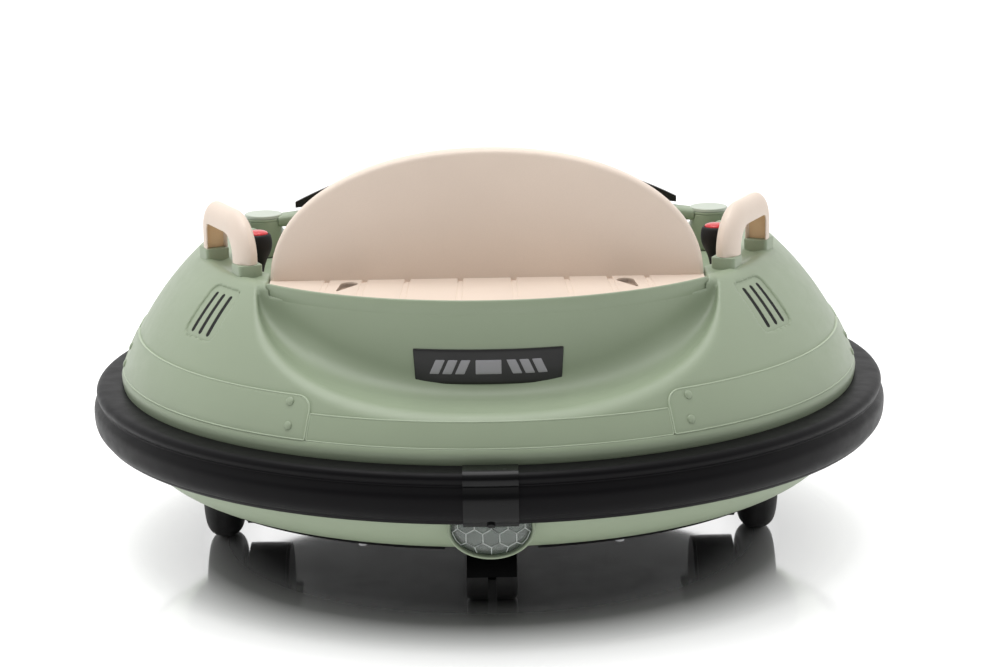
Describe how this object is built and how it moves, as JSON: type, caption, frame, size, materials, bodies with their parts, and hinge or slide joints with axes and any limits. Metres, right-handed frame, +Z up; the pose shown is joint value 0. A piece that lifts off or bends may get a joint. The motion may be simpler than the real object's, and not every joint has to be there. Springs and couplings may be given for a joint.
{
  "type": "ride-on bumper car",
  "caption": "Round battery-powered child's bumper car shaped like a flying saucer: ring bumper, seat with arched backrest, joysticks, grab handles, drive wheels and casters.",
  "frame": {"origin": "on the floor under the centre of the round body", "axes": "+Z up; -Y is the front, where the rider's feet go; +Y is the rear, behind the backrest; the pieces named left are on +X"},
  "size_m": [0.7508, 0.7552, 0.398],
  "materials": {
    "sage_plastic": "satin moulded sage green",
    "cap_plastic": "pale satin disc",
    "cream_plastic": "satin moulded cream",
    "bumper_rubber": "matt black",
    "black_plastic": "fine-grained black",
    "grip_rubber": "soft black grip",
    "clip_black": "satin black coat",
    "plate_black": "black plate with a plain grey motif",
    "smoked_screen": "dark glossy",
    "red_plastic": "glossy red",
    "key_plastic": "cream keys",
    "fastener_steel": "steel",
    "gear_nylon": "natural nylon",
    "pinion_brass": "brass",
    "tyre_black": "hard black tread",
    "lamp_bezel": "sage green bezel",
    "lamp_clear": "clear faceted lens",
    "board_green": "circuit board",
    "battery_case": "dark grey case"
  },
  "bodies": {
    "chassis": {"upper_shell": "sage_plastic", "lower_shell": "sage_plastic", "base_pan": "black_plastic", "base_screws": "fastener_steel", "bumper_left": "bumper_rubber", "bumper_right": "bumper_rubber", "rear_bumper_clip": "clip_black", "front_bumper_clip": "clip_black", "clip_screws": "fastener_steel", "vent_grilles": "black_plastic", "panel_rivets": "sage_plastic", "number_plate": "plate_black", "seat": "cream_plastic", "seat_screws": "fastener_steel", "left_handle": "cream_plastic", "right_handle": "cream_plastic", "handle_screws": "fastener_steel", "stick_mounts": "black_plastic", "dash_bridge": "sage_plastic", "post_caps": "cap_plastic", "windscreen": "smoked_screen", "dash_panel": "black_plastic", "speaker": "black_plastic", "lamp_boards": "board_green", "rear_lamp_housing": "lamp_bezel", "rear_lamp_lens": "lamp_clear", "front_lamp_housing": "lamp_bezel", "front_lamp_lens": "lamp_clear", "charging_socket": "black_plastic", "battery": "battery_case", "control_board": "board_green", "left_gear_case": "black_plastic", "left_gear_cover": "black_plastic", "left_motor": "fastener_steel", "right_gear_case": "black_plastic", "right_gear_cover": "black_plastic", "right_motor": "fastener_steel"},
    "left_wheel": {"left_wheel_tyre": "tyre_black", "left_wheel_hub": "black_plastic", "left_drive_axle": "fastener_steel", "left_output_gear": "gear_nylon"},
    "left_idler": {"left_idler_gear": "gear_nylon"},
    "left_rotor": {"left_motor_pinion": "pinion_brass"},
    "left_stick": {"left_joystick": "grip_rubber"},
    "left_stick_button": {"left_joystick_button": "red_plastic"},
    "right_wheel": {"right_wheel_tyre": "tyre_black", "right_wheel_hub": "black_plastic", "right_drive_axle": "fastener_steel", "right_output_gear": "gear_nylon"},
    "right_idler": {"right_idler_gear": "gear_nylon"},
    "right_rotor": {"right_motor_pinion": "pinion_brass"},
    "right_stick": {"right_joystick": "grip_rubber"},
    "right_stick_button": {"right_joystick_button": "red_plastic"},
    "rear_swivel": {"rear_caster_fork": "black_plastic"},
    "rear_roller": {"rear_caster_wheels": "tyre_black"},
    "front_swivel": {"front_caster_fork": "black_plastic"},
    "front_roller": {"front_caster_wheels": "tyre_black"},
    "power_rocker": {"power_switch": "black_plastic"},
    "music_key": {"music_button": "key_plastic"},
    "horn_key": {"horn_button": "key_plastic"}
  },
  "joints": [
    {"name": "left_wheel_spin", "type": "hinge", "parent": "chassis", "child": "left_wheel", "pos_m": [0.256, 0, 0.062], "axis": [1, 0, 0], "continuous": true},
    {"name": "left_idler_spin", "type": "hinge", "parent": "chassis", "child": "left_idler", "pos_m": [0.21, 0.02443, 0.0969], "axis": [1, 0, 0], "continuous": true},
    {"name": "left_rotor_spin", "type": "hinge", "parent": "chassis", "child": "left_rotor", "pos_m": [0.204, 0.05137, 0.11245], "axis": [1, 0, 0], "continuous": true},
    {"name": "left_stick_tilt", "type": "hinge", "parent": "chassis", "child": "left_stick", "pos_m": [0.212, 0.06, 0.236], "axis": [1, 0, 0], "range_deg": [-15, 15], "stiffness_Nm_per_rad": 0.6},
    {"name": "left_button_press", "type": "slide", "parent": "left_stick", "child": "left_stick_button", "axis": [0, 0, -1], "range_m": [0, 0.002], "stiffness_N_per_m": 400, "springref_m": -0.0005},
    {"name": "right_wheel_spin", "type": "hinge", "parent": "chassis", "child": "right_wheel", "pos_m": [-0.256, 0, 0.062], "axis": [1, 0, 0], "continuous": true},
    {"name": "right_idler_spin", "type": "hinge", "parent": "chassis", "child": "right_idler", "pos_m": [-0.21, 0.02443, 0.0969], "axis": [1, 0, 0], "continuous": true},
    {"name": "right_rotor_spin", "type": "hinge", "parent": "chassis", "child": "right_rotor", "pos_m": [-0.204, 0.05137, 0.11245], "axis": [1, 0, 0], "continuous": true},
    {"name": "right_stick_tilt", "type": "hinge", "parent": "chassis", "child": "right_stick", "pos_m": [-0.212, 0.06, 0.236], "axis": [1, 0, 0], "range_deg": [-15, 15], "stiffness_Nm_per_rad": 0.6},
    {"name": "right_button_press", "type": "slide", "parent": "right_stick", "child": "right_stick_button", "axis": [0, 0, -1], "range_m": [0, 0.002], "stiffness_N_per_m": 400, "springref_m": -0.0005},
    {"name": "rear_caster_swivel", "type": "hinge", "parent": "chassis", "child": "rear_swivel", "pos_m": [0, 0.19, 0.08], "axis": [0, 0, 1], "continuous": true},
    {"name": "rear_caster_roll", "type": "hinge", "parent": "rear_swivel", "child": "rear_roller", "pos_m": [0, 0.208, 0.026], "axis": [1, 0, 0], "continuous": true},
    {"name": "front_caster_swivel", "type": "hinge", "parent": "chassis", "child": "front_swivel", "pos_m": [0, -0.19, 0.08], "axis": [0, 0, 1], "continuous": true},
    {"name": "front_caster_roll", "type": "hinge", "parent": "front_swivel", "child": "front_roller", "pos_m": [0, -0.172, 0.026], "axis": [1, 0, 0], "continuous": true},
    {"name": "power_rocker_tilt", "type": "hinge", "parent": "chassis", "child": "power_rocker", "pos_m": [-0.048, -0.111, 0.283], "axis": [1, 0, 0], "range_deg": [-16, 0]},
    {"name": "music_key_press", "type": "slide", "parent": "chassis", "child": "music_key", "axis": [0, -1, 0], "range_m": [0, 0.0015], "stiffness_N_per_m": 300, "springref_m": -0.0005},
    {"name": "horn_key_press", "type": "slide", "parent": "chassis", "child": "horn_key", "axis": [0, -1, 0], "range_m": [0, 0.0015], "stiffness_N_per_m": 300, "springref_m": -0.0005}
  ],
  "couplings": [
    {"joint": "left_idler_spin", "follows": "left_wheel_spin", "ratio": -3.25},
    {"joint": "left_rotor_spin", "follows": "left_wheel_spin", "ratio": 11.143},
    {"joint": "right_idler_spin", "follows": "right_wheel_spin", "ratio": -3.25},
    {"joint": "right_rotor_spin", "follows": "right_wheel_spin", "ratio": 11.143}
  ]
}
